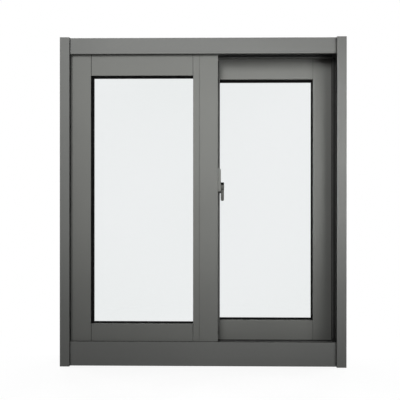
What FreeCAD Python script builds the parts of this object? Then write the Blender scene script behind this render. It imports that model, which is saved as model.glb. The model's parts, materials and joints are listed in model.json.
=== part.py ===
import FreeCAD, Part
import os
import re

import Sketcher

# Horizontal sliding window of painted aluminium extrusions: an outer frame with two tracks, a left
# sash in the front track, a right sash in the rear track, and a crescent latch where they meet.
# Millimetres. X runs to the right, Y to the back and Z up. The origin is the middle of the
# frame's footprint, at the underside of the sill.

DIMENSIONS = [
    ("overall_width", 860, "over the jambs"),
    ("overall_height", 990, "jambs, from the underside of the sill to the top"),
    ("track_width", 42, "each of the two channels that the sashes run in"),
    ("frame_wall", 2, "wall of the frame extrusions"),
    ("jamb_face", 29, "jamb seen from the front"),
    ("jamb_lip_depth", 15, "front and rear lips of the jamb, front to back"),
    ("rib_depth", 8, "rib between the two tracks, front to back"),
    ("head_setback", 8, "head and sill stand back from the jamb's front and rear"),
    ("cope_gap", 0.4, "ends of the head and sill to the jamb's lips"),
    ("head_face", 48, "head seen from the front"),
    ("head_channel_depth", 30, "from the lip's lower edge up to the channel's ceiling"),
    ("sill_face", 73, "sill seen from the front"),
    ("sill_rib_height", 62, "top of the sill's rib and rear lip"),
    ("sill_floor_height", 40, "floor of the sill's channels"),
    ("frame_edge_radius", 1, "rounded edges of the frame extrusions"),
    ("rail_thickness", 3, "upright of the track rail"),
    ("rail_foot_width", 10, "foot of the track rail"),
    ("rail_foot_thickness", 2, "foot of the track rail"),
    ("rail_reach", 10, "track rail into the channel under the sash"),
    ("rail_edge_radius", 1.4, "rounded top of the track rail"),
    ("fixing_hole_radius", 2.75, "screw holes through the jamb web"),
    ("fixing_hole_end_distance", 150, "screw hole from either end of the jamb"),
    ("pile_width", 5, "pile seal along its lip"),
    ("pile_inset", 2, "pile seal from the edge of its lip"),
    ("pile_gap", 0.3, "tip of the pile to the sash"),
    ("sash_depth", 32, "sash front to back"),
    ("sash_wall", 1.8, "wall of the sash extrusions"),
    ("sash_edge_radius", 1, "rounded edges of the sash extrusions"),
    ("left_jamb_engagement", 14, "left sash reaches behind its jamb's lip"),
    ("right_jamb_engagement", 18.4, "right sash reaches behind its jamb's lip"),
    ("head_engagement", 14, "sash reaches behind the head's lip"),
    ("sill_engagement", 20, "sash reaches behind the sill's front lip"),
    ("stile_width", 75, "jamb stile"),
    ("meeting_stile_width", 75, "meeting stile"),
    ("top_rail_width", 77, "top rail"),
    ("bottom_rail_width", 70.9, "bottom rail"),
    ("joint_gap", 0.4, "end of a rail to its stile"),
    ("left_meeting_reach", 46, "left sash reaches right of the middle"),
    ("right_meeting_reach", 22.5, "right sash reaches left of the middle"),
    ("cover_groove_place", 18.7, "groove in the front meeting stile, from the glass side"),
    ("cover_groove_width", 1.2, "groove in the front meeting stile"),
    ("cover_groove_depth", 1, "groove in the front meeting stile"),
    ("glazing_leg_depth", 9, "front leg of the glazing pocket, front to back"),
    ("glazing_pocket_depth", 17, "pocket for the pane, from the edge of the opening"),
    ("pane_thickness", 5, "glass"),
    ("pane_bite", 12, "glass reaches into the pocket"),
    ("gasket_thickness", 3, "gasket between pane and leg"),
    ("gasket_sight_top", 5.2, "gasket seen over the pane"),
    ("gasket_sight_bottom", 4.1, "gasket seen under the pane"),
    ("gasket_sight_left", 6.5, "gasket seen beside the left jamb stile"),
    ("gasket_sight_right", 3.1, "gasket seen beside the right jamb stile"),
    ("gasket_sight_meeting", 0.5, "gasket seen beside a meeting stile"),
    ("roller_channel_width", 14, "channel under the sash"),
    ("roller_place", 60, "roller from the end of the bottom rail"),
    ("roller_case_length", 40, "roller housing"),
    ("roller_case_width", 12, "roller housing"),
    ("roller_case_drop", 10.8, "roller housing below the axle"),
    ("roller_top_gap", 3.7, "over the wheel, inside its housing"),
    ("roller_case_wall", 1.5, "roller housing"),
    ("roller_radius", 7.5, "where the wheel runs on the rail"),
    ("roller_flange", 1.5, "flange of the wheel, out and across"),
    ("roller_tread_width", 4, "wheel between its flanges"),
    ("roller_axle_radius", 2, "axle of the wheel"),
    ("running_gap", 0.3, "wheel to rail"),
    ("axle_gap", 0.1, "round an axle or pin in its hole"),
    ("interlock_wall", 1.5, "wall of the interlock strips"),
    ("interlock_flange", 10, "strip lying on the stile"),
    ("interlock_reach", 13, "hook, from the stile towards the other sash"),
    ("interlock_hook", 18.5, "hook, across the window"),
    ("left_interlock_place", 34, "web of the front sash's strip"),
    ("right_interlock_place", 7.5, "web of the rear sash's strip"),
    ("interlock_end_gap", 5, "strip to the head and sill"),
    ("interlock_break_below", 52, "strips stop below the latch's pivot"),
    ("interlock_break_above", 68, "strips start again above the latch's pivot"),
    ("latch_base_width", 9.3, "latch base, across the window"),
    ("latch_base_depth", 24, "latch base, front to back"),
    ("latch_base_inset", 6, "latch base behind the sash's front"),
    ("latch_base_drop", 15.4, "latch base below the pivot"),
    ("latch_base_height", 71.5, "latch base"),
    ("latch_shoulder_width", 4.4, "slanted shoulder of the latch base"),
    ("latch_shoulder_height", 4.5, "slanted shoulder of the latch base"),
    ("latch_edge_radius", 1, "rounded edges of the latch"),
    ("latch_pivot_height", 542.4, "pivot of the lever"),
    ("latch_pivot_inset", 20, "pivot behind the sash's front"),
    ("lever_gap", 0.1, "lever beside the base"),
    ("lever_width", 9.6, "lever, across the window"),
    ("lever_hub_radius", 12.8, "lever round its pivot"),
    ("lever_cap_height", 7.2, "cap on top of the lever's hub"),
    ("lever_length", 44.4, "lever, from the pivot to its tip"),
    ("lever_depth", 11, "lever, front to back"),
    ("lever_offset", 6, "lever's front before the pivot"),
    ("cam_radius", 23, "crescent that goes behind the keeper"),
    ("cam_thickness", 4, "crescent that goes behind the keeper"),
    ("cam_inset", 1, "crescent from the lever's left side"),
    ("cam_sweep", 90, "crescent, in degrees from straight down to the back"),
    ("pin_radius", 2.5, "pivot pin"),
    ("pin_head_radius", 4.5, "pivot pin"),
    ("pin_head_thickness", 0.8, "pivot pin"),
    ("pin_depth", 6, "pivot pin inside the base"),
    ("keeper_drop", 20.4, "keeper below the pivot"),
    ("keeper_height", 32, "keeper"),
    ("keeper_plate_width", 14, "keeper on the rear meeting stile"),
    ("keeper_plate_thickness", 3, "keeper on the rear meeting stile"),
    ("keeper_arm_thickness", 2, "arm of the keeper"),
    ("keeper_wall", 3, "wall that the crescent goes behind"),
    ("keeper_wall_reach", 8, "wall, from the arm forwards"),
    ("keeper_gap", 0.6, "crescent to the keeper's wall"),
]

# Places worked out from the dimensions. Each is a formula in brackets.
HALF_WIDTH = "(overall_width / 2)"
HALF_DEPTH = "(jamb_lip_depth + track_width + rib_depth / 2)"
TRACK_NEAR = "(rib_depth / 2)"
TRACK_FAR = "(rib_depth / 2 + track_width)"
TRACK_MIDDLE = "(rib_depth / 2 + track_width / 2)"
FRAME_FACE = f"({HALF_DEPTH} - head_setback)"
INNER_HALF = f"({HALF_WIDTH} - jamb_face)"
WEB_HALF = f"({HALF_WIDTH} - frame_wall)"
HEAD_EDGE = "(overall_height - head_face)"
CHANNEL_CEILING = f"({HEAD_EDGE} + head_channel_depth)"
SASH_BOTTOM = "(sill_face - sill_engagement)"
SASH_TOP = f"({HEAD_EDGE} + head_engagement)"
LEFT_SASH_REACH = f"({INNER_HALF} + left_jamb_engagement)"
RIGHT_SASH_REACH = f"({INNER_HALF} + right_jamb_engagement)"
OPENING_BOTTOM = f"({SASH_BOTTOM} + bottom_rail_width)"
OPENING_TOP = f"({SASH_TOP} - top_rail_width)"
LEFT_OPENING_EDGE = f"(stile_width - {LEFT_SASH_REACH})"
RIGHT_OPENING_EDGE = f"({RIGHT_SASH_REACH} - stile_width)"
LEFT_MEETING_EDGE = "(left_meeting_reach - meeting_stile_width)"
RIGHT_MEETING_EDGE = "(meeting_stile_width - right_meeting_reach)"
PANE_FRONT = "(glazing_leg_depth + gasket_thickness)"
PANE_BACK = f"({PANE_FRONT} + pane_thickness)"
REAR_LEG = f"({PANE_BACK} + gasket_thickness)"
PILE_REACH = "(track_width / 2 - sash_depth / 2 - pile_gap)"
RAIL_TOP = f"({SASH_BOTTOM} + rail_reach)"
ROLLER_AXIS = f"({RAIL_TOP} + running_gap + roller_radius)"
ROLLER_CEILING = f"({ROLLER_AXIS} + roller_radius + roller_flange + roller_top_gap + roller_case_wall)"

# How far the front face of each sash lies from the origin plane.
LEFT_FRONT = f"(-{TRACK_MIDDLE} - sash_depth / 2)"
RIGHT_FRONT = f"({TRACK_MIDDLE} - sash_depth / 2)"

doc = FreeCAD.newDocument("sliding_window")
sheet = doc.addObject("Spreadsheet::Sheet", "dims")
for row, (alias, size, meaning) in enumerate(DIMENSIONS, 1):
    sheet.set(f"A{row}", alias)
    sheet.set(f"B{row}", str(size))
    sheet.setAlias(f"B{row}", alias)
    sheet.set(f"C{row}", meaning)
doc.recompute()

ALIASES = {alias for alias, _, _ in DIMENSIONS}
TURN_TO_X = FreeCAD.Rotation(FreeCAD.Vector(0, 1, 0), 90)
TURN_TO_Y = FreeCAD.Rotation(FreeCAD.Vector(1, 0, 0), -90)
NODES = []


def bound(formula):
    """Point each dimension that a formula names at its cell."""
    return re.sub(r"[a-z_]+", lambda word: f"dims.{word[0]}" if word[0] in ALIASES else word[0], str(formula))


def node(piece, name):
    """Name a finished piece, which is written to a file of that name."""
    piece.Label = name
    NODES.append(piece)
    return piece


def place(piece, x="0", y="0", z="0"):
    """Bind a piece's position to formulas."""
    for axis, formula in (("x", x), ("y", y), ("z", z)):
        piece.setExpression(f"Placement.Base.{axis}", bound(formula))
    return piece


def box(name, x, y, z):
    """A box between two formulas along each axis."""
    piece = doc.addObject("Part::Box", name)
    for size, (low, high) in (("Length", x), ("Width", y), ("Height", z)):
        piece.setExpression(size, bound(f"({high}) - ({low})"))
    return place(piece, x[0], y[0], z[0])


def cylinder(name, radius, length, turn, x, y, z):
    """A cylinder along X or Y that starts at the given place."""
    piece = doc.addObject("Part::Cylinder", name)
    piece.setExpression("Radius", bound(radius))
    piece.setExpression("Height", bound(length))
    piece.Placement = FreeCAD.Placement(FreeCAD.Vector(), turn)
    return place(piece, x, y, z)


def together(name, pieces):
    """Pieces that don't touch, kept as one object."""
    piece = doc.addObject("Part::Compound", name)
    piece.Links = pieces
    return piece


def joined(name, pieces):
    """Pieces joined into one solid."""
    piece = doc.addObject("Part::MultiFuse", name)
    piece.Shapes = pieces
    return piece


def cut(name, base, tools):
    """A piece with the tools cut out of it."""
    piece = doc.addObject("Part::Cut", name)
    piece.Base = base
    piece.Tool = tools[0] if len(tools) == 1 else together(f"{name}_tools", tools)
    return piece


def common(name, one, other):
    """What two pieces share."""
    piece = doc.addObject("Part::Common", name)
    piece.Base = one
    piece.Tool = other
    return piece


def outline_sketch(body, plane, outlines):
    """Sketch closed outlines on a plane of the body, each corner a pair of formulas."""
    sketch = body.newObject("Sketcher::SketchObject", f"{body.Name}_profile")
    support = next(item for item in body.Origin.OriginFeatures if item.Role == plane)
    sketch.AttachmentSupport = [(support, "")]
    sketch.MapMode = "FlatFace"
    for corners in outlines:
        first = sketch.GeometryCount
        count = len(corners)
        ring = [FreeCAD.Rotation(FreeCAD.Vector(0, 0, 1), 360 * k / count).multVec(FreeCAD.Vector(100, 0, 0))
                for k in range(count)]
        for k in range(count):
            sketch.addGeometry(Part.LineSegment(ring[k], ring[(k + 1) % count]))
        for k, (across, up) in enumerate(corners):
            following = first + (k + 1) % count
            sketch.addConstraint(Sketcher.Constraint("Coincident", first + k, 2, following, 1))
            for kind, formula, start in (("DistanceX", across, ring[k].x), ("DistanceY", up, ring[k].y)):
                index = sketch.addConstraint(Sketcher.Constraint(kind, -1, 1, first + k, 1, start))
                sketch.setExpression(f"Constraints[{index}]", bound(formula))
    return sketch


def extrusion(name, plane, outlines, length):
    """A body made of one profile, padded away from its plane."""
    body = doc.addObject("PartDesign::Body", name)
    pad = body.newObject("PartDesign::Pad", f"{name}_pad")
    pad.Profile = outline_sketch(body, plane, outlines)
    pad.setExpression("Length", bound(length))
    body.Tip = pad
    return body


def same(one, other):
    """Whether two lengths are equal."""
    return abs(one - other) < 1e-6


def front_and_rear(edge, whole):
    """Long edges of an extrusion's front and rear faces, apart from those of a groove in an upright one."""
    middle = edge.BoundBox.Center
    on_face = same(middle.y, whole.YMin) or same(middle.y, whole.YMax)
    if whole.ZLength > whole.XLength:
        return same(edge.Length, whole.ZLength) and on_face and (same(middle.x, whole.XMin) or
                                                                 same(middle.x, whole.XMax))
    return same(edge.Length, whole.XLength) and on_face


def along_the_top(edge, whole):
    """Long edges of the top of a rail."""
    return same(edge.Length, whole.XLength) and same(edge.BoundBox.Center.z, whole.ZMax)


def away_from_stile(edge, whole):
    """Edges of the latch base, except those that lie on the stile."""
    return edge.BoundBox.XMax > whole.XMin + 1e-6


def rounded(body, radius, chosen):
    """Round the chosen edges of a body."""
    doc.recompute()
    padded = body.Tip
    whole = padded.Shape.BoundBox
    fillet = body.newObject("PartDesign::Fillet", f"{body.Name}_fillet")
    fillet.Base = (padded, [f"Edge{number}" for number, edge in enumerate(padded.Shape.Edges, 1)
                            if chosen(edge, whole)])
    fillet.setExpression("Radius", bound(radius))
    body.Tip = fillet
    return body


def jamb(name, side):
    """A jamb: an outer web with three hollow lips, and screw holes through the web of its empty track."""
    outer, web = f"{side} * {HALF_WIDTH}", f"{side} * {WEB_HALF}"
    edge, inside = f"{side} * {INNER_HALF}", f"{side} * ({INNER_HALF} + frame_wall)"
    levels = (f"-{HALF_DEPTH}", f"-{TRACK_FAR}", f"-{TRACK_NEAR}", TRACK_NEAR, TRACK_FAR, HALF_DEPTH)
    front, front_track, rib_front, rib_back, rear_track, back = levels
    outline = [(outer, front), (edge, front), (edge, front_track), (web, front_track), (web, rib_front),
               (edge, rib_front), (edge, rib_back), (web, rib_back), (web, rear_track), (edge, rear_track),
               (edge, back), (outer, back)]
    hollows = []
    for low, high in ((front, front_track), (rib_front, rib_back), (rear_track, back)):
        low, high = f"{low} + frame_wall", f"{high} - frame_wall"
        hollows.append([(web, low), (inside, low), (inside, high), (web, high)])
    profile = extrusion(f"{name}_extrusion", "XY_Plane", [outline] + hollows, "overall_height")
    rounded(profile, "frame_edge_radius", front_and_rear)
    # The left jamb's rear track and the right jamb's front track are the empty ones.
    depth = f"-({side}) * {TRACK_MIDDLE}"
    start = f"{side} * {HALF_WIDTH} - 2 * frame_wall"
    holes = [cylinder(f"{name}_hole_{end}", "fixing_hole_radius", "4 * frame_wall", TURN_TO_X,
                      start, depth, height)
             for end, height in (("low", "fixing_hole_end_distance"),
                                 ("high", "overall_height - fixing_hole_end_distance"))]
    return node(cut(name, profile, holes), name)


def coped(name, profile, low, high):
    """Cut the ends of the head or sill round the lips of the jambs."""
    tools = []
    for side in (-1, 1):
        inner = f"({INNER_HALF} - cope_gap)"
        ends = (f"-{HALF_WIDTH}", f"-{inner}") if side < 0 else (inner, HALF_WIDTH)
        for place_name, near, far in (("front", f"-{HALF_DEPTH}", f"-{TRACK_FAR}"),
                                      ("rib", f"-{TRACK_NEAR}", TRACK_NEAR),
                                      ("rear", TRACK_FAR, HALF_DEPTH)):
            side_name = "left" if side < 0 else "right"
            tools.append(box(f"{name}_cope_{side_name}_{place_name}", ends, (near, far), (low, high)))
    return node(cut(name, profile, tools), name)


def frame_head():
    """The head: a hollow extrusion with two channels that open downwards."""
    def section(shift, top):
        lip = f"{HEAD_EDGE} + {shift}"
        ceiling = f"{CHANNEL_CEILING} + {shift}"
        face, far, near = f"({FRAME_FACE} - {shift})", f"({TRACK_FAR} + {shift})", f"({TRACK_NEAR} - {shift})"
        return [(f"-{face}", lip), (f"-{far}", lip), (f"-{far}", ceiling), (f"-{near}", ceiling),
                (f"-{near}", lip), (near, lip), (near, ceiling), (far, ceiling), (far, lip), (face, lip),
                (face, top), (f"-{face}", top)]
    outlines = [section("0", "overall_height"), section("frame_wall", "overall_height - frame_wall")]
    profile = extrusion("head_extrusion", "YZ_Plane", outlines, f"2 * {WEB_HALF}")
    place(rounded(profile, "frame_edge_radius", front_and_rear), x=f"-{WEB_HALF}")
    return coped("head", profile, "0", "overall_height + frame_wall")


def frame_sill():
    """The sill: a hollow extrusion with two channels that open upwards."""
    def section(shift, bottom):
        lip, rib = f"sill_face - {shift}", f"sill_rib_height - {shift}"
        floor = f"sill_floor_height - {shift}"
        face, far, near = f"({FRAME_FACE} - {shift})", f"({TRACK_FAR} + {shift})", f"({TRACK_NEAR} - {shift})"
        return [(f"-{face}", bottom), (face, bottom), (face, rib), (far, rib), (far, floor), (near, floor),
                (near, rib), (f"-{near}", rib), (f"-{near}", floor), (f"-{far}", floor), (f"-{far}", lip),
                (f"-{face}", lip)]
    outlines = [section("0", "0"), section("frame_wall", "frame_wall")]
    profile = extrusion("sill_extrusion", "YZ_Plane", outlines, f"2 * {WEB_HALF}")
    place(rounded(profile, "frame_edge_radius", front_and_rear), x=f"-{WEB_HALF}")
    return coped("sill", profile, "-frame_wall", "sill_face + frame_wall")


def track_rail(name, middle):
    """A rail on the floor of a channel, with a foot and a rounded top."""
    foot, upright = "rail_foot_width / 2", "rail_thickness / 2"
    step = "sill_floor_height + rail_foot_thickness"
    outline = [(f"-{foot}", "sill_floor_height"), (foot, "sill_floor_height"), (foot, step), (upright, step),
               (upright, RAIL_TOP), (f"-{upright}", RAIL_TOP), (f"-{upright}", step),
               (f"-{foot}", step)]
    rail = extrusion(name, "YZ_Plane", [outline], f"2 * {WEB_HALF}")
    rounded(rail, "rail_edge_radius", along_the_top)
    return node(place(rail, x=f"-{WEB_HALF}", y=middle), name)


def pile_strips(name, strip):
    """Four pile seals, one on each face of the lips and rib that looks into a track."""
    spans = (("front", f"-{TRACK_FAR}", f"-{TRACK_FAR} + {PILE_REACH}"),
             ("rib_front", f"-{TRACK_NEAR} - {PILE_REACH}", f"-{TRACK_NEAR}"),
             ("rib_rear", TRACK_NEAR, f"{TRACK_NEAR} + {PILE_REACH}"),
             ("rear", f"{TRACK_FAR} - {PILE_REACH}", TRACK_FAR))
    strips = []
    for place_name, low, high in spans:
        x, z = strip(place_name)
        strips.append(box(f"{name}_{place_name}", x, (low, high), z))
    return node(together(name, strips), name)


def head_pile(_):
    """A strip along the head, just above the edge of its lip."""
    low = f"{HEAD_EDGE} + pile_inset"
    return (f"-{INNER_HALF}", INNER_HALF), (low, f"{low} + pile_width")


def sill_pile(place_name):
    """A strip along the sill, just below the top of its lip or rib."""
    high = "sill_face - pile_inset" if place_name == "front" else "sill_rib_height - pile_inset"
    return (f"-{INNER_HALF}", INNER_HALF), (f"{high} - pile_width", high)


def jamb_pile(side):
    """A strip up the jamb, just inside the edge of its lip."""
    near, far = f"{INNER_HALF} + pile_inset", f"{INNER_HALF} + pile_inset + pile_width"
    x = (near, far) if side > 0 else (f"-({far})", f"-({near})")
    return lambda _: (x, ("sill_face", HEAD_EDGE))


def glazed_section(outer, width, to_glass):
    """Corners of a sash extrusion, and of the chamber in it: depth is measured from the sash's front."""
    def at(distance):
        return f"({outer}) + ({to_glass}) * ({distance})"
    pocket = f"{width} - glazing_pocket_depth"
    outline = [(at("0"), "0"), (at(width), "0"), (at(width), "glazing_leg_depth"),
               (at(pocket), "glazing_leg_depth"), (at(pocket), REAR_LEG), (at(width), REAR_LEG),
               (at(width), "sash_depth"), (at("0"), "sash_depth")]
    wall, inside, bottom = "sash_wall", f"{width} - sash_wall", f"{pocket} - sash_wall"
    front_leg, rear_leg = "glazing_leg_depth - sash_wall", f"{REAR_LEG} + sash_wall"
    back = "sash_depth - sash_wall"
    chamber = [(at(wall), wall), (at(inside), wall), (at(inside), front_leg), (at(bottom), front_leg),
               (at(bottom), rear_leg), (at(inside), rear_leg), (at(inside), back), (at(wall), back)]
    return outline, chamber


def stile(name, outer, width, to_glass, front, groove=None):
    """A stile with a pocket for the pane, notched at its foot to pass over the rail."""
    outline, chamber = glazed_section(outer, width, to_glass)
    if groove:
        near, far = f"({groove}) - cover_groove_width / 2", f"({groove}) + cover_groove_width / 2"
        slot = [(near, "0"), (near, "cover_groove_depth"), (far, "cover_groove_depth"), (far, "0")]
        outline = outline[:1] + slot[::to_glass] + outline[1:]
    profile = extrusion(f"{name}_extrusion", "XY_Plane", [outline, chamber], f"{SASH_TOP} - {SASH_BOTTOM}")
    place(rounded(profile, "sash_edge_radius", front_and_rear), y=front, z=SASH_BOTTOM)
    middle = f"{front} + sash_depth / 2"
    reach = f"({outer}) + ({to_glass}) * {width}"
    ends = (outer, reach) if to_glass > 0 else (reach, outer)
    notch = box(f"{name}_notch", ends,
                (f"{middle} - roller_channel_width / 2", f"{middle} + roller_channel_width / 2"),
                (SASH_BOTTOM, ROLLER_CEILING))
    return node(cut(name, profile, [notch]), name)


def swapped(corners):
    """The same corners with depth first and height second."""
    return [(depth, height) for height, depth in corners]


def top_rail(name, left, right, front):
    """The rail over the pane, between the stiles."""
    outline, chamber = glazed_section(SASH_TOP, "top_rail_width", -1)
    rail = extrusion(name, "YZ_Plane", [swapped(outline), swapped(chamber)], f"({right}) - ({left})")
    return node(place(rounded(rail, "sash_edge_radius", front_and_rear), x=left, y=front), name)


def bottom_rail(name, left, right, front):
    """The rail under the pane, between the stiles, with a channel for the rollers below."""
    outline, chamber = glazed_section(SASH_BOTTOM, "bottom_rail_width", 1)
    leg_front = "(sash_depth - roller_channel_width) / 2"
    leg_back = "(sash_depth + roller_channel_width) / 2"
    channel = [(SASH_BOTTOM, leg_back), (ROLLER_CEILING, leg_back), (ROLLER_CEILING, leg_front),
               (SASH_BOTTOM, leg_front)]
    above = f"{ROLLER_CEILING} + sash_wall"
    low = f"{SASH_BOTTOM} + sash_wall"
    raised = [(low, f"{leg_back} + sash_wall"), (above, f"{leg_back} + sash_wall"),
              (above, f"{leg_front} - sash_wall"), (low, f"{leg_front} - sash_wall")]
    rail = extrusion(name, "YZ_Plane", [swapped(outline + channel), swapped(chamber + raised)],
                     f"({right}) - ({left})")
    return node(place(rounded(rail, "sash_edge_radius", front_and_rear), x=left, y=front), name)


def pane(name, x, front):
    """The glass of one sash."""
    edges = (f"({x[0]}) - pane_bite", f"({x[1]}) + pane_bite")
    heights = (f"{OPENING_BOTTOM} - pane_bite", f"{OPENING_TOP} + pane_bite")
    return node(box(name, edges, (f"{front} + {PANE_FRONT}", f"{front} + {PANE_BACK}"), heights), name)


def gasket(name, x, sights, near, far):
    """A frame of gasket between the pane and one leg of the pocket."""
    outside = box(f"{name}_outside", (f"({x[0]}) - pane_bite", f"({x[1]}) + pane_bite"), (near, far),
                  (f"{OPENING_BOTTOM} - pane_bite", f"{OPENING_TOP} + pane_bite"))
    inside = box(f"{name}_inside", (f"({x[0]}) + {sights[0]}", f"({x[1]}) - {sights[1]}"), (near, far),
                 (f"{OPENING_BOTTOM} + gasket_sight_bottom", f"{OPENING_TOP} - gasket_sight_top"))
    return node(cut(name, outside, [inside]), name)


def roller(name, place_x, front):
    """A grooved wheel on its axle, in a housing that fills the top of the sash's channel."""
    middle = f"({front} + sash_depth / 2)"
    lower = f"({ROLLER_AXIS} - roller_case_drop)"
    half_length, half_width = "roller_case_length / 2", "roller_case_width / 2"
    left, right = f"{place_x} - {half_length}", f"{place_x} + {half_length}"
    near, far = f"{middle} - {half_width}", f"{middle} + {half_width}"
    case = box(f"{name}_case", (left, right), (near, far), (lower, ROLLER_CEILING))
    space = box(f"{name}_space", (f"{left} + roller_case_wall", f"{right} - roller_case_wall"),
                (f"{near} + roller_case_wall", f"{far} - roller_case_wall"),
                (lower, f"{ROLLER_CEILING} - roller_case_wall"))
    bore = cylinder(f"{name}_bore", "roller_axle_radius + axle_gap", "roller_case_width", TURN_TO_Y,
                    place_x, f"{middle} - {half_width}", ROLLER_AXIS)
    housing = cut(f"{name}_housing", case, [space, bore])
    tread = "roller_tread_width / 2"
    wheel = joined(f"{name}_wheel", [
        cylinder(f"{name}_tread", "roller_radius", "roller_tread_width", TURN_TO_Y,
                 place_x, f"{middle} - {tread}", ROLLER_AXIS),
        cylinder(f"{name}_front_flange", "roller_radius + roller_flange", "roller_flange", TURN_TO_Y,
                 place_x, f"{middle} - {tread} - roller_flange", ROLLER_AXIS),
        cylinder(f"{name}_rear_flange", "roller_radius + roller_flange", "roller_flange", TURN_TO_Y,
                 place_x, f"{middle} + {tread}", ROLLER_AXIS),
        cylinder(f"{name}_axle", "roller_axle_radius", "roller_case_width", TURN_TO_Y,
                 place_x, f"{middle} - {half_width}", ROLLER_AXIS)])
    return [housing, wheel]


def interlock(name, outline):
    """A hooked strip up a meeting stile, left out beside the latch."""
    spans = (("lower", "sill_face + interlock_end_gap", "latch_pivot_height - interlock_break_below"),
             ("upper", "latch_pivot_height + interlock_break_above", f"{HEAD_EDGE} - interlock_end_gap"))
    strips = []
    for part_name, low, high in spans:
        strip = extrusion(f"{name}_{part_name}", "XY_Plane", [outline], f"{high} - ({low})")
        strips.append(place(strip, z=low))
    return node(together(name, strips), name)


def sash(name, x, sights, stiles, front):
    """One sash: stiles, rails, pane, gaskets and rollers. x is the opening between its stiles."""
    for stile_name, outer, width, to_glass, groove in stiles:
        stile(f"{name}_{stile_name}", outer, width, to_glass, front, groove)
    ends = (f"{x[0]} + joint_gap", f"{x[1]} - joint_gap")
    top_rail(f"{name}_top_rail", *ends, front)
    bottom_rail(f"{name}_bottom_rail", *ends, front)
    pane(f"{name}_glass", x, front)
    gasket(f"{name}_front_gasket", x, sights, f"{front} + glazing_leg_depth", f"{front} + {PANE_FRONT}")
    gasket(f"{name}_rear_gasket", x, sights, f"{front} + {PANE_BACK}", f"{front} + {REAR_LEG}")
    wheels = roller(f"{name}_left_roller", f"({x[0]} + roller_place)", front)
    wheels += roller(f"{name}_right_roller", f"({x[1]} - roller_place)", front)
    node(together(f"{name}_rollers", wheels), f"{name}_rollers")


def sashes():
    """The left sash in the front track and the right sash in the rear track, with their interlocks."""
    groove = f"{LEFT_MEETING_EDGE} + cover_groove_place"
    sash("left_sash", (LEFT_OPENING_EDGE, LEFT_MEETING_EDGE), ("gasket_sight_left", "gasket_sight_meeting"),
         (("jamb_stile", f"-{LEFT_SASH_REACH}", "stile_width", 1, None),
          ("meeting_stile", "left_meeting_reach", "meeting_stile_width", -1, groove)), LEFT_FRONT)
    sash("right_sash", (RIGHT_MEETING_EDGE, RIGHT_OPENING_EDGE),
         ("gasket_sight_meeting", "gasket_sight_right"),
         (("meeting_stile", "-right_meeting_reach", "meeting_stile_width", 1, None),
          ("jamb_stile", RIGHT_SASH_REACH, "stile_width", -1, None)), RIGHT_FRONT)

    back_of_left = f"({LEFT_FRONT} + sash_depth)"
    web, wall = "left_interlock_place", "interlock_wall"
    hook = f"{back_of_left} + interlock_reach"
    interlock("left_sash_interlock", [
        (web, back_of_left), (f"{web} + interlock_flange", back_of_left),
        (f"{web} + interlock_flange", f"{back_of_left} + {wall}"),
        (f"{web} + {wall}", f"{back_of_left} + {wall}"),
        (f"{web} + {wall}", hook), (f"{web} + {wall} - interlock_hook", hook),
        (f"{web} + {wall} - interlock_hook", f"{hook} - {wall}"), (web, f"{hook} - {wall}")])

    web = "right_interlock_place"
    hook = f"{RIGHT_FRONT} - interlock_reach"
    interlock("right_sash_interlock", [
        (web, RIGHT_FRONT), (f"{web} - interlock_flange", RIGHT_FRONT),
        (f"{web} - interlock_flange", f"{RIGHT_FRONT} - {wall}"),
        (f"{web} - {wall}", f"{RIGHT_FRONT} - {wall}"),
        (f"{web} - {wall}", hook), (f"{web} - {wall} + interlock_hook", hook),
        (f"{web} - {wall} + interlock_hook", f"{hook} + {wall}"), (web, f"{hook} + {wall}")])


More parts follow.
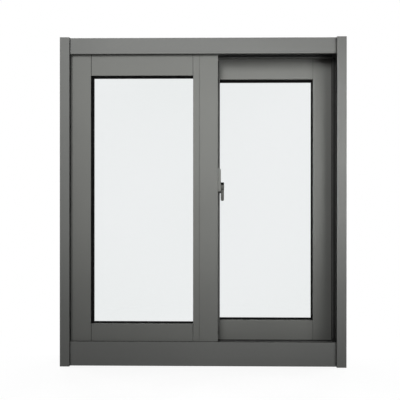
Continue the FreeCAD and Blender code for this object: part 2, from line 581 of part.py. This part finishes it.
def latch():
    """The latch on the edge of the front meeting stile, and its keeper on the rear one."""
    left, right = "left_meeting_reach", "(left_meeting_reach + latch_base_width)"
    front = f"({LEFT_FRONT} + latch_base_inset)"
    pivot = f"({LEFT_FRONT} + latch_pivot_inset)"
    bottom = "(latch_pivot_height - latch_base_drop)"
    top = f"({bottom} + latch_base_height)"
    outline = [(left, bottom), (right, bottom), (right, f"{top} - latch_shoulder_height"),
               (f"{right} - latch_shoulder_width", top), (left, top)]
    base = rounded(extrusion("latch_base_body", "XZ_Plane", [outline], "latch_base_depth"),
                   "latch_edge_radius", away_from_stile)
    place(base, y=f"{front} + latch_base_depth")
    bore = cylinder("latch_base_bore", "pin_radius + axle_gap", "pin_depth + lever_gap", TURN_TO_X,
                    f"{right} - pin_depth", pivot, "latch_pivot_height")
    node(cut("latch_base", base, [bore]), "latch_base")

    lever_left = f"({right} + lever_gap)"
    lever_right = f"({lever_left} + lever_width)"
    tip = "latch_pivot_height - lever_length"
    # The handle hangs below the pivot, and its tip is rounded as seen from the front.
    handle = box("lever_handle", (lever_left, lever_right),
                 (f"{pivot} - lever_offset", f"{pivot} - lever_offset + lever_depth"),
                 (f"{tip} + lever_width / 2", "latch_pivot_height"))
    end = cylinder("lever_end", "lever_width / 2", "lever_depth", TURN_TO_Y,
                   f"{lever_left} + lever_width / 2", f"{pivot} - lever_offset", f"{tip} + lever_width / 2")
    hub = cylinder("lever_hub", "lever_hub_radius", "lever_width", TURN_TO_X,
                   lever_left, pivot, "latch_pivot_height")
    cam = cylinder("lever_cam", "cam_radius", "cam_thickness", TURN_TO_X,
                   f"{lever_left} + cam_inset", pivot, "latch_pivot_height")
    cam.setExpression("Angle", bound("cam_sweep"))
    lever_bore = cylinder("lever_bore", "pin_radius + axle_gap", "lever_width", TURN_TO_X,
                          lever_left, pivot, "latch_pivot_height")
    # The cap takes the place of the hub's top.
    hub_top = "(latch_pivot_height + lever_hub_radius)"
    cap_space = box("lever_cap_space", (lever_left, lever_right),
                    (f"{pivot} - lever_hub_radius", f"{pivot} + lever_hub_radius"),
                    (f"{hub_top} - lever_cap_height", hub_top))
    lever = joined("lever_body", [handle, end, hub, cam])
    node(cut("latch_lever", lever, [lever_bore, cap_space]), "latch_lever")
    node(common("latch_lever_cap", hub, cap_space), "latch_lever_cap")

    shank = cylinder("pin_shank", "pin_radius", f"{lever_right} - ({right} - pin_depth)", TURN_TO_X,
                     f"{right} - pin_depth", pivot, "latch_pivot_height")
    head = cylinder("pin_head", "pin_head_radius", "pin_head_thickness", TURN_TO_X,
                    lever_right, pivot, "latch_pivot_height")
    node(joined("latch_pivot", [shank, head]), "latch_pivot")

    face = RIGHT_FRONT
    plate_right = RIGHT_MEETING_EDGE
    plate_left = f"{plate_right} - keeper_plate_width"
    wall_left = f"({lever_left} + cam_inset + cam_thickness + keeper_gap)"
    arm_back = f"({face} - keeper_plate_thickness)"
    arm_front = f"({arm_back} - keeper_arm_thickness)"
    keeper = extrusion("latch_keeper", "XY_Plane", [[
        (plate_left, face), (plate_right, face), (plate_right, arm_back),
        (f"{wall_left} + keeper_wall", arm_back),
        (f"{wall_left} + keeper_wall", f"{arm_front} - keeper_wall_reach"),
        (wall_left, f"{arm_front} - keeper_wall_reach"), (wall_left, arm_front), (plate_left, arm_front)]],
        "keeper_height")
    node(place(keeper, z="latch_pivot_height - keeper_drop"), "latch_keeper")


def build():
    """Make every piece of the window."""
    jamb("left_jamb", -1)
    jamb("right_jamb", 1)
    frame_head()
    frame_sill()
    track_rail("front_track_rail", f"-{TRACK_MIDDLE}")
    track_rail("rear_track_rail", TRACK_MIDDLE)
    pile_strips("head_pile_seals", head_pile)
    pile_strips("sill_pile_seals", sill_pile)
    pile_strips("left_jamb_pile_seals", jamb_pile(-1))
    pile_strips("right_jamb_pile_seals", jamb_pile(1))
    sashes()
    latch()
    doc.recompute()


def check_and_write():
    """Stop on a failed feature or a bad shape, and write each piece to its file."""
    for item in doc.Objects:
        if "Invalid" in item.State or "Error" in item.State:
            raise RuntimeError(f"{item.Name} failed: {item.State}")
    os.makedirs("parts", exist_ok=True)
    for piece in NODES:
        if piece.Shape.isNull() or not piece.Shape.isValid() or piece.Shape.Volume <= 0:
            raise RuntimeError(f"{piece.Label} has no valid shape")
        piece.Shape.exportStep(f"parts/{piece.Label}.step")
        print(piece.Label, len(piece.Shape.Solids), round(piece.Shape.Volume))


build()
check_and_write()
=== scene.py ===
import json
import math

import bmesh
import bpy
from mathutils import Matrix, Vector


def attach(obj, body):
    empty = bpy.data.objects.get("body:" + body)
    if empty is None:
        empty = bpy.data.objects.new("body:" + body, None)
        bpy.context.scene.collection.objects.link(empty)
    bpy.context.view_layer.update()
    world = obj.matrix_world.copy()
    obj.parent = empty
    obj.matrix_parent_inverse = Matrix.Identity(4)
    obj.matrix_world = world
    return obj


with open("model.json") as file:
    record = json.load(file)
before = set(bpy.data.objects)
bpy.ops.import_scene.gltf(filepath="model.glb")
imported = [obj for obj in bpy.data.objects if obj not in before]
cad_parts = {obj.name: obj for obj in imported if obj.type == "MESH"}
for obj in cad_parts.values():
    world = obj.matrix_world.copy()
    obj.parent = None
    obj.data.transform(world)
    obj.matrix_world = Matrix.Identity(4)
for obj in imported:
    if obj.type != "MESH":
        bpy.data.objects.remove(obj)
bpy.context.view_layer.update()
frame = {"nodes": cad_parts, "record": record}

# Horizontal sliding window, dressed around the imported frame.
# Metres, with X to the right, Y to the back and Z up.

NODES = frame["nodes"]

# The camera: its place, its turns in degrees, and its focal length in pixels of the square picture.
CAMERA_PLACE = (0.0098, -1.5175, 0.5028)
CAMERA_TURN = 0.704
CAMERA_TILT = -0.069
CAMERA_ROLL = -0.028
FOCAL_PIXELS = 486.16
PICTURE_PIXELS = 400
SENSOR_WIDTH = 36.0

# The front lamps: name, place, aim, size, power and beam in degrees.
FRONT_LAMPS = (
    ("left_key", (-0.60, -1.95, 1.68), (-0.11, 0, 0.86), 0.9, 3.5, 48),
    ("right_low", (1.5, -1.6, 0.7), (0.1, 0, 0.7), 0.9, 2.1, 60),
    ("right_front", (1.0, -1.8, 1.1), (0.42, 0, 0.58), 0.5, 0.42, 26),
    ("right_high", (1.0, -1.1, 2.0), (0.35, 0, 0.8), 0.7, 0.18, 44),
)
# Weaker lamps for the sides and the back, each of them at the left and at the right.
SIDE_LAMPS = (
    ("side", (2.4, 0.7, 1.6), (0, 0, 0.5), 1.2, 5, 60),
    ("rear", (1.2, 2.2, 1.7), (0, 0, 0.55), 1.2, 3.6, 60),
)

# The studio round the lamps. The bounce is the floor's grey for the light that it throws on the window.
# The shade is its grey for the shadow that the camera sees, and the glow lifts the rest of it to near white.
# Between the two distances of the fade the floor turns to plain white.
WORLD_LIGHT = 0.03
FLOOR_REACH = 8.0
FLOOR_BOUNCE = 0.12
FLOOR_SHADE = 0.14
FLOOR_GLOW = 0.905
FLOOR_FADE = (0.3, 0.8)
WHITE = (1, 1, 1, 1)

# Noise seldom leaves the span from low to high. A ramp that starts at the contrast edge is steeper.
NOISE_LOW = 0.3
NOISE_HIGH = 0.7
CONTRAST_EDGE = 0.35

# Scales of the noise, each near the number of waves in a metre.
COAT_DRIFT = 3.0
COAT_GRAIN = 1800
COAT_GLOSS = 60
COAT_PEEL = 700
COAT_FINE_PEEL = 2600
GLASS_DRIFT = 1.6
RUBBER_BLOOM = 40
RUBBER_GLOSS = 220
RUBBER_GRAIN = 900
PLASTIC_TONE = 500
PLASTIC_GLOSS = 300
PLASTIC_GRAIN = 1600
PILE_FIBRES = 1500
METAL_LINES = 900

# Painted finishes by material slot: the colour on a screen, 0 to 255, and the roughness.
PAINTS = {
    "frame_paint": ((130, 131, 129), 0.5),
    "sash_paint": ((130, 131, 128), 0.5),
    "latch_paint": ((130, 131, 128), 0.45),
    "lever_paint": ((94, 95, 92), 0.38),
}
# Bare metals by material slot: name, colour on a screen, roughness, and the noise's scale along X, Y and Z.
METALS = {
    "rail_aluminium": ("rail_aluminium", (196, 197, 198), 0.32, (0.02, 1, 1)),
    "roller": ("roller_steel", (180, 180, 178), 0.35, (1, 1, 1)),
    "pin_steel": ("pin_steel", (170, 170, 168), 0.3, (1, 1, 1)),
}

# Places on the solids that several strips share: X of the jambs' reveals, Y of faces, then Z and heights.
REVEAL = 0.401
FRONT_FACE = -0.041
FRONT_LEG = -0.040
REAR_FACE = 0.009
REAR_LEG = 0.010
REAR_GASKET = 0.0209
RIB_FACE = -0.004
SILL_LIP_TOP = 0.073
HEAD_LIP_FOOT = 0.942
UPPER_JOINT_FOOT = 0.8795
UPPER_JOINT_HEIGHT = 0.0755
LOWER_JOINT_FOOT = 0.054
LOWER_JOINT_HEIGHT = 0.069
OPENING_FOOT = 0.1241
OPENING_HEIGHT = 0.7547

# Thin strips: name, material slot, first corner, way across, crown and way along.
# Most of them are painted shade: dark rubber or pile put where the window only has shade. Dark strips on the
# jambs' reveals and at their corners by the head and the sill paint the reveals' shade.
# Thin dark lines over the real seams of the sashes' joints and meeting stile paint the shade in those seams.
# The thin line in the front meeting stile's groove paints the shade in the groove.
# The interlock pile stands on the rear meeting stile, above and below the latch's keeper, and its dark also
# paints the shade beside the front meeting stile.
# Dark linings on the faces of the glazing legs towards the opening paint the reveals' shade, and a lip over
# the edge of the left lining paints shade over the rounded edge. The other lips lie on the rear sash's
# gasket.
# Dark strips on the right jamb's rib round its pile, as a backing, a bead, a border and a foot, paint the
# rib's shade.
# Dark strips on the sill's lip and rib, and a brush behind the rib, paint the shade in the gaps by the
# sashes, and the lever's cap has a rim.
STRIPS = (
    # Painted shade: dark strips on the jambs' reveals.
    ("left_jamb_reveal_shade", "gasket_rubber",
     (-REVEAL, -0.0595, SILL_LIP_TOP), (0, 0.013, 0), (0.0005, 0, 0), (0, 0, 0.869)),
    ("right_jamb_reveal_shade", "gasket_rubber",
     (REVEAL, -0.0595, SILL_LIP_TOP), (0, 0.013, 0), (-0.0002, 0, 0), (0, 0, 0.869)),
    # Painted shade: thin dark lines over the real seams of the sashes' joints and meeting stile.
    ("upper_joint_seam_shade", "gasket_rubber",
     (-0.3402, FRONT_FACE, UPPER_JOINT_FOOT), (0.0014, 0, 0), (0, -0.0002, 0), (0, 0, UPPER_JOINT_HEIGHT)),
    ("lower_joint_seam_shade", "gasket_rubber",
     (-0.3402, FRONT_FACE, LOWER_JOINT_FOOT), (0.0014, 0, 0), (0, -0.0002, 0), (0, 0, LOWER_JOINT_HEIGHT)),
    ("upper_meeting_seam_shade", "gasket_rubber",
     (-0.0313, FRONT_FACE, UPPER_JOINT_FOOT), (0.0005, 0, 0), (0, -0.0001, 0), (0, 0, UPPER_JOINT_HEIGHT)),
    ("lower_meeting_seam_shade", "gasket_rubber",
     (-0.0313, FRONT_FACE, LOWER_JOINT_FOOT), (0.0005, 0, 0), (0, -0.0001, 0), (0, 0, LOWER_JOINT_HEIGHT)),
    ("upper_rear_joint_seam_shade", "gasket_rubber",
     (0.3440, REAR_FACE, UPPER_JOINT_FOOT), (0.0005, 0, 0), (0, -0.0001, 0), (0, 0, UPPER_JOINT_HEIGHT)),
    ("lower_rear_joint_seam_shade", "gasket_rubber",
     (0.3440, REAR_FACE, LOWER_JOINT_FOOT), (0.0003, 0, 0), (0, -0.0001, 0), (0, 0, LOWER_JOINT_HEIGHT)),
    # Painted shade: a thin dark line in the front meeting stile's groove.
    ("groove_shade_line", "gasket_rubber",
     (-0.0104, -0.040, 0.074), (0.0003, 0, 0), (0, -0.0002, 0), (0, 0, 0.867)),
    # Pile, which also paints the shade beside the front meeting stile.
    ("lower_interlock_pile_and_shade", "pile",
     (0.0463, REAR_FACE, 0.080), (0.0034, 0, 0), (0, -0.005, 0), (0, 0, 0.4405)),
    ("upper_interlock_pile_and_shade", "pile",
     (0.0465, REAR_FACE, 0.556), (0.0036, 0, 0), (0, -0.005, 0), (0, 0, 0.379)),
    # Painted shade: dark linings on the glazing legs' reveals, and a lip over the rounded edge by the left
    # one.
    ("left_sash_left_reveal_shade", "gasket_rubber",
     (-0.340, FRONT_LEG, OPENING_FOOT), (0, 0.0078, 0), (0.0003, 0, 0), (0, 0, OPENING_HEIGHT)),
    ("left_sash_left_edge_shade", "gasket_rubber",
     (-0.3409, -0.04095, OPENING_FOOT), (0.0009, 0.00095, 0), (0.00026, -0.00026, 0), (0, 0, OPENING_HEIGHT)),
    ("left_sash_right_reveal_shade", "gasket_rubber",
     (-0.029, FRONT_LEG, OPENING_FOOT), (0, 0.0078, 0), (-0.0003, 0, 0), (0, 0, OPENING_HEIGHT)),
    ("left_sash_top_reveal_shade", "gasket_rubber",
     (-0.3394, FRONT_LEG, 0.879), (0, 0.0078, 0), (0, 0, -0.0003), (0.3098, 0, 0)),
    ("right_sash_left_reveal_shade", "gasket_rubber",
     (0.0525, REAR_LEG, OPENING_FOOT), (0, 0.0078, 0), (0.0003, 0, 0), (0, 0, OPENING_HEIGHT)),
    ("right_sash_right_reveal_shade", "gasket_rubber",
     (0.3444, REAR_LEG, OPENING_FOOT), (0, 0.0078, 0), (-0.0003, 0, 0), (0, 0, OPENING_HEIGHT)),
    # Painted shade: dark strips on the right jamb's rib round its pile.
    ("right_rib_face_shade", "pile",
     (0.4083, RIB_FACE, SILL_LIP_TOP), (0.0035, 0, 0), (0, -0.0004, 0), (0, 0, 0.868)),
    ("right_rib_edge_shade", "gasket_rubber",
     (REVEAL, -0.003, 0.0625), (0, 0.006, 0), (-0.0010, 0, 0), (0, 0, 0.8785)),
    ("right_rib_border_shade", "pile",
     (0.4012, RIB_FACE, SILL_LIP_TOP), (0.0017, 0, 0), (0, -0.0006, 0), (0, 0, 0.868)),
    ("right_rib_foot_shade", "pile",
     (0.4012, RIB_FACE, 0.055), (0.0115, 0, 0), (0, -0.0006, 0), (0, 0, 0.0178)),
    # Painted shade: dark strips on the jambs' reveals by the head and the sill.
    ("left_head_corner_shade", "gasket_rubber",
     (-REVEAL, -0.0587, HEAD_LIP_FOOT), (0, 0.0055, 0), (0.0005, 0, 0), (0, 0, 0.046)),
    ("right_head_corner_shade", "gasket_rubber",
     (REVEAL, -0.0547, HEAD_LIP_FOOT), (0, 0.0015, 0), (-0.0003, 0, 0), (0, 0, 0.046)),
    ("left_sill_corner_shade", "gasket_rubber",
     (-REVEAL, -0.0595, 0.002), (0, 0.0063, 0), (0.0008, 0, 0), (0, 0, 0.071)),
    ("right_sill_corner_shade", "gasket_rubber",
     (REVEAL, -0.0577, 0.002), (0, 0.0045, 0), (-0.0003, 0, 0), (0, 0, 0.071)),
    # Painted shade: dark strips on the sill's lip and in the gap behind its rib.
    ("left_sill_lip_shade", "gasket_rubber",
     (-0.400, -0.0505, SILL_LIP_TOP), (0, 0.004, 0), (0, 0, 0.0002), (0.446, 0, 0)),
    ("right_sill_lip_shade", "gasket_rubber",
     (0.046, -0.0524, SILL_LIP_TOP), (0, 0.006, 0), (0, 0, 0.0002), (0.354, 0, 0)),
    ("sill_rear_gap_shade", "pile",
     (0.048, 0.0042, 0.060), (0, 0.0045, 0), (0, 0, 0.0043), (0.352, 0, 0)),
    ("right_sash_left_gasket_lip", "gasket_rubber",
     (0.0530, REAR_GASKET, 0.1281), (0.0007, 0, 0), (0, -0.0008, 0), (0, 0, 0.7456)),
    ("right_sash_top_gasket_lip", "gasket_rubber",
     (0.0531, REAR_GASKET, 0.8708), (0, 0, 0.0030), (0, -0.0008, 0), (0.2907, 0, 0)),
    ("right_sash_bottom_gasket_lip", "gasket_rubber",
     (0.0531, REAR_GASKET, 0.1280), (0, 0, 0.0022), (0, -0.0008, 0), (0.2907, 0, 0)),
    ("latch_cap_rim", "cap_plastic",
     (0.0554, -0.03295, 0.5470), (0, 0.00044, 0.0010), (0, -0.0003, 0.0001), (0.0096, 0, 0)),
    # Painted shade: a dark strip on the sill's rib.
    ("sill_rib_shade", "gasket_rubber",
     (0.048, -0.0022, 0.062), (0, 0.0050, 0), (0, 0, 0.0003), (0.352, 0, 0)),
)
# The crown's outline: its number of steps, and a power below 1, which gives it steep flanks and a flat top.
STRIP_STEPS = 8
CROWN_POWER = 0.5


def rgb(red, green, blue):
    """A colour given as 0 to 255 on a screen, as the linear values that a shader takes."""
    def linear(value):
        share = value / 255
        return share / 12.92 if share <= 0.04045 else ((share + 0.055) / 1.055) ** 2.4
    return (linear(red), linear(green), linear(blue), 1.0)


def scaled(colour, factor):
    """A colour made lighter or darker."""
    return tuple(channel * factor for channel in colour[:3]) + (1.0,)


def new_material(name):
    """A new material with its node tree and its principled shader."""
    material = bpy.data.materials.new(name)
    material.use_nodes = True
    tree = material.node_tree
    shader = next(node for node in tree.nodes if node.type == "BSDF_PRINCIPLED")
    return material, tree, shader


def noise(tree, scale, detail, stretch=(1, 1, 1)):
    """Noise in the object's own metres, stretched along its axes."""
    place = tree.nodes.new("ShaderNodeTexCoord")
    shape = tree.nodes.new("ShaderNodeMapping")
    shape.inputs["Scale"].default_value = stretch
    texture = tree.nodes.new("ShaderNodeTexNoise")
    texture.inputs["Scale"].default_value = scale
    texture.inputs["Detail"].default_value = detail
    tree.links.new(place.outputs["Object"], shape.inputs["Vector"])
    tree.links.new(shape.outputs["Vector"], texture.inputs["Vector"])
    return texture.outputs["Fac"]


def ramp(tree, source, low, high, edge=NOISE_LOW):
    """Turn noise into colours: one at the edge and below, the other as far from 1 and above."""
    node = tree.nodes.new("ShaderNodeValToRGB")
    first, last = node.color_ramp.elements
    first.position = edge
    first.color = low
    last.position = 1 - edge
    last.color = high
    tree.links.new(source, node.inputs["Fac"])
    return node.outputs["Color"]


def spread(tree, source, low, high):
    """Turn noise into a number between two values."""
    node = tree.nodes.new("ShaderNodeMapRange")
    node.inputs["From Min"].default_value = NOISE_LOW
    node.inputs["From Max"].default_value = NOISE_HIGH
    node.inputs["To Min"].default_value = low
    node.inputs["To Max"].default_value = high
    tree.links.new(source, node.inputs["Value"])
    return node.outputs["Result"]


def multiplied(tree, first, second):
    """Multiply two colours."""
    node = tree.nodes.new("ShaderNodeMix")
    node.data_type = "RGBA"
    node.blend_type = "MULTIPLY"
    node.inputs["Factor"].default_value = 1.0
    tree.links.new(first, node.inputs["A"])
    tree.links.new(second, node.inputs["B"])
    return node.outputs["Result"]


def bump(tree, shader, layers):
    """Stack bump layers, each a source, a strength and a height in metres."""
    previous = None
    for source, strength, height in layers:
        node = tree.nodes.new("ShaderNodeBump")
        node.inputs["Strength"].default_value = strength
        node.inputs["Distance"].default_value = height
        tree.links.new(source, node.inputs["Height"])
        if previous:
            tree.links.new(previous.outputs["Normal"], node.inputs["Normal"])
        previous = node
    tree.links.new(previous.outputs["Normal"], shader.inputs["Normal"])


def powder_coat(name, colour, roughness):
    """Powder-coated aluminium: a fine even grain, a faint drift of tone and an orange-peel surface."""
    material, tree, shader = new_material(name)
    drift = ramp(tree, noise(tree, COAT_DRIFT, 2), scaled(colour, 0.96), scaled(colour, 1.04), CONTRAST_EDGE)
    grain = ramp(tree, noise(tree, COAT_GRAIN, 2), (0.90, 0.90, 0.90, 1), (1.08, 1.08, 1.07, 1))
    tree.links.new(multiplied(tree, drift, grain), shader.inputs["Base Color"])
    gloss = spread(tree, noise(tree, COAT_GLOSS, 3), roughness - 0.05, roughness + 0.05)
    tree.links.new(gloss, shader.inputs["Roughness"])
    shader.inputs["Specular IOR Level"].default_value = 0.2
    peel = noise(tree, COAT_PEEL, 2)
    fine_peel = noise(tree, COAT_FINE_PEEL, 1)
    bump(tree, shader, [(peel, 0.25, 0.00006), (fine_peel, 0.2, 0.00002)])
    return material


def glass():
    """Clear float glass with a faint cool tint, which lets the light through to what is behind."""
    material, tree, shader = new_material("window_glass")
    tint = ramp(tree, noise(tree, GLASS_DRIFT, 1), rgb(233, 236, 236), rgb(237, 239, 240))
    tree.links.new(tint, shader.inputs["Base Color"])
    shader.inputs["Roughness"].default_value = 0.0
    shader.inputs["IOR"].default_value = 1.5
    shader.inputs["Transmission Weight"].default_value = 1.0
    path = tree.nodes.new("ShaderNodeLightPath")
    clear = tree.nodes.new("ShaderNodeBsdfTransparent")
    clear.inputs["Color"].default_value = rgb(240, 242, 242)
    look = blend(tree, path.outputs["Is Shadow Ray"], shader.outputs["BSDF"], clear.outputs["BSDF"])
    out = next(node for node in tree.nodes if node.type == "OUTPUT_MATERIAL")
    tree.links.new(look, out.inputs["Surface"])
    return material


def gasket_rubber():
    """Black glazing rubber: matt, with a faint bloom and a soft grain."""
    material, tree, shader = new_material("gasket_rubber")
    colour = ramp(tree, noise(tree, RUBBER_BLOOM, 3), rgb(4, 4, 4), rgb(10, 10, 10), CONTRAST_EDGE)
    tree.links.new(colour, shader.inputs["Base Color"])
    tree.links.new(spread(tree, noise(tree, RUBBER_GLOSS, 2), 0.55, 0.7), shader.inputs["Roughness"])
    shader.inputs["Specular IOR Level"].default_value = 0.15
    bump(tree, shader, [(noise(tree, RUBBER_GRAIN, 2), 0.3, 0.00005)])
    return material


def black_plastic():
    """Black moulded plastic with a fine spark-eroded grain."""
    material, tree, shader = new_material("black_plastic")
    colour = ramp(tree, noise(tree, PLASTIC_TONE, 2), rgb(3, 3, 3), rgb(8, 8, 8), CONTRAST_EDGE)
    tree.links.new(colour, shader.inputs["Base Color"])
    tree.links.new(spread(tree, noise(tree, PLASTIC_GLOSS, 2), 0.4, 0.55), shader.inputs["Roughness"])
    shader.inputs["Specular IOR Level"].default_value = 0.05
    bump(tree, shader, [(noise(tree, PLASTIC_GRAIN, 2), 0.3, 0.00004)])
    return material


def pile():
    """Grey brush pile: fine fibres that stand out from the backing."""
    material, tree, shader = new_material("brush_pile")
    fibres = noise(tree, PILE_FIBRES, 3, stretch=(1, 0.2, 1))
    colour = ramp(tree, fibres, rgb(34, 34, 34), rgb(72, 72, 70), CONTRAST_EDGE)
    tree.links.new(colour, shader.inputs["Base Color"])
    shader.inputs["Roughness"].default_value = 0.95
    shader.inputs["Sheen Weight"].default_value = 0.2
    bump(tree, shader, [(fibres, 0.8, 0.0003)])
    return material


def brushed_metal(name, colour, roughness, stretch):
    """Bare metal with fine lines along the way it was drawn."""
    material, tree, shader = new_material(name)
    lines = noise(tree, METAL_LINES, 3, stretch)
    tone = ramp(tree, lines, scaled(colour, 0.85), scaled(colour, 1.08))
    tree.links.new(tone, shader.inputs["Base Color"])
    shader.inputs["Metallic"].default_value = 1.0
    tree.links.new(spread(tree, lines, roughness - 0.06, roughness + 0.08), shader.inputs["Roughness"])
    bump(tree, shader, [(lines, 0.15, 0.00004)])
    return material


def dress_nodes():
    """Give every node its finish, and return the finish of each material slot."""
    finishes = {}
    for slot, (colour, roughness) in PAINTS.items():
        finishes[slot] = powder_coat(slot, rgb(*colour), roughness)
    finishes["glass"] = glass()
    finishes["gasket_rubber"] = gasket_rubber()
    finishes["pile"] = pile()
    finishes["cap_plastic"] = black_plastic()
    for slot, (name, colour, roughness, stretch) in METALS.items():
        finishes[slot] = brushed_metal(name, rgb(*colour), roughness, stretch)
    for part in frame["record"]["subparts"]:
        piece = NODES[part["node"]]
        piece.data.materials.clear()
        piece.data.materials.append(finishes[part["material_slot"]])
    return finishes


def crowned_strip(name, corner, across, crown, along, material):
    """A straight strip with a flat back, a crowned face and closed ends, fixed to the window."""
    corner, across, crown, along = (Vector(item) for item in (corner, across, crown, along))
    shape = bmesh.new()
    near_end = []
    for step in range(STRIP_STEPS + 1):
        share = step / STRIP_STEPS
        rise = math.sin(math.pi * share) ** CROWN_POWER
        near_end.append(shape.verts.new(corner + across * share + crown * rise))
    far_end = [shape.verts.new(vertex.co + along) for vertex in near_end]
    shape.faces.new(near_end)
    shape.faces.new(far_end)
    # The first of these faces, from the last point to the first, is the flat back.
    for step in range(-1, STRIP_STEPS):
        shape.faces.new((near_end[step], near_end[step + 1], far_end[step + 1], far_end[step]))
    bmesh.ops.recalc_face_normals(shape, faces=shape.faces)
    mesh = bpy.data.meshes.new(name)
    shape.to_mesh(mesh)
    shape.free()
    mesh.materials.append(material)
    piece = bpy.data.objects.new(name, mesh)
    bpy.context.scene.collection.objects.link(piece)
    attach(piece, "root")


def seen_directly(tree):
    """1 for a ray from the camera, or one that glass or gloss has sent on from it, and otherwise 0."""
    path = tree.nodes.new("ShaderNodeLightPath")
    share = path.outputs["Is Camera Ray"]
    for kind in ("Is Glossy Ray", "Is Transmission Ray"):
        either = tree.nodes.new("ShaderNodeMath")
        either.operation = "MAXIMUM"
        tree.links.new(share, either.inputs[0])
        tree.links.new(path.outputs[kind], either.inputs[1])
        share = either.outputs["Value"]
    return share


def blend(tree, share, first, second):
    """Mix two shaders."""
    node = tree.nodes.new("ShaderNodeMixShader")
    tree.links.new(share, node.inputs["Fac"])
    tree.links.new(first, node.inputs[1])
    tree.links.new(second, node.inputs[2])
    return node.outputs["Shader"]


def emission(tree, strength):
    """Plain white light of the given strength."""
    node = tree.nodes.new("ShaderNodeEmission")
    node.inputs["Color"].default_value = WHITE
    node.inputs["Strength"].default_value = strength
    return node.outputs["Emission"]


def white_world():
    """A world that lights softly and looks white."""
    world = bpy.data.worlds.new("studio")
    bpy.context.scene.world = world
    world.use_nodes = True
    tree = world.node_tree
    background = next(node for node in tree.nodes if node.type == "BACKGROUND")
    background.inputs["Color"].default_value = WHITE
    background.inputs["Strength"].default_value = WORLD_LIGHT
    white = tree.nodes.new("ShaderNodeBackground")
    white.inputs["Color"].default_value = WHITE
    white.inputs["Strength"].default_value = 1.0
    out = next(node for node in tree.nodes if node.type == "OUTPUT_WORLD")
    look = blend(tree, seen_directly(tree), background.outputs["Background"], white.outputs["Background"])
    tree.links.new(look, out.inputs["Surface"])


def pale_floor():
    """A pale floor that keeps the window's shadow and fades into the white background."""
    mesh = bpy.data.meshes.new("floor")
    corners = [(x * FLOOR_REACH, y * FLOOR_REACH, 0) for x, y in ((-1, -1), (1, -1), (1, 1), (-1, 1))]
    mesh.from_pydata(corners, [], [(0, 1, 2, 3)])
    floor = bpy.data.objects.new("floor", mesh)
    bpy.context.scene.collection.objects.link(floor)
    material, tree, shader = new_material("pale_floor")
    shader.inputs["Base Color"].default_value = (FLOOR_BOUNCE, FLOOR_BOUNCE, FLOOR_BOUNCE, 1)
    shader.inputs["Roughness"].default_value = 0.9
    shader.inputs["Specular IOR Level"].default_value = 0.1
    shade = tree.nodes.new("ShaderNodeBsdfDiffuse")
    shade.inputs["Color"].default_value = (FLOOR_SHADE, FLOOR_SHADE, FLOOR_SHADE, 1)
    shaded_glow = tree.nodes.new("ShaderNodeAddShader")
    tree.links.new(shade.outputs["BSDF"], shaded_glow.inputs[0])
    tree.links.new(emission(tree, FLOOR_GLOW), shaded_glow.inputs[1])
    place = tree.nodes.new("ShaderNodeTexCoord")
    distance = tree.nodes.new("ShaderNodeVectorMath")
    distance.operation = "LENGTH"
    tree.links.new(place.outputs["Object"], distance.inputs[0])
    fade = tree.nodes.new("ShaderNodeMapRange")
    fade.interpolation_type = "SMOOTHSTEP"
    fade.inputs["From Min"].default_value = FLOOR_FADE[0]
    fade.inputs["From Max"].default_value = FLOOR_FADE[1]
    tree.links.new(distance.outputs["Value"], fade.inputs["Value"])
    look = blend(tree, fade.outputs["Result"], shaded_glow.outputs["Shader"], emission(tree, 1.0))
    out = next(node for node in tree.nodes if node.type == "OUTPUT_MATERIAL")
    tree.links.new(blend(tree, seen_directly(tree), shader.outputs["BSDF"], look), out.inputs["Surface"])
    mesh.materials.append(material)


def lamp(name, place, aim, size, power, beam):
    """A soft square lamp that points at a place and shows neither in the picture nor in gloss or glass."""
    light = bpy.data.lights.new(name, "AREA")
    light.shape = "SQUARE"
    light.size = size
    light.energy = power
    light.spread = math.radians(beam)
    lamp_object = bpy.data.objects.new(name, light)
    lamp_object.location = place
    lamp_object.visible_glossy = False
    lamp_object.visible_camera = False
    lamp_object.visible_transmission = False
    lamp_object.rotation_euler = (Vector(aim) - Vector(place)).to_track_quat("-Z", "Y").to_euler()
    bpy.context.scene.collection.objects.link(lamp_object)


def lamps():
    """Soft beams over the upper front, then the lamps for the sides and the back."""
    for name, place, aim, size, power, beam in FRONT_LAMPS:
        lamp(name, place, aim, size, power, beam)
    for side in (-1, 1):
        for name, (x, y, z), aim, size, power, beam in SIDE_LAMPS:
            lamp(name, (side * x, y, z), aim, size, power, beam)


def camera():
    """The photograph's viewing angle, from in front of the window."""
    lens = bpy.data.cameras.new("camera")
    lens.sensor_width = SENSOR_WIDTH
    lens.lens = FOCAL_PIXELS * SENSOR_WIDTH / PICTURE_PIXELS
    view = bpy.data.objects.new("camera", lens)
    view.location = CAMERA_PLACE
    upright = math.radians(90)
    tilt = math.radians(CAMERA_TILT)
    view.rotation_euler = (upright + tilt, math.radians(CAMERA_ROLL), math.radians(CAMERA_TURN))
    bpy.context.scene.collection.objects.link(view)
    bpy.context.scene.camera = view


def main():
    """Set up the studio and dress the window."""
    bpy.context.scene.view_settings.view_transform = "Standard"
    camera()
    lamps()
    white_world()
    pale_floor()
    finishes = dress_nodes()
    for name, slot, corner, across, crown, along in STRIPS:
        crowned_strip(name, corner, across, crown, along, finishes[slot])


main()
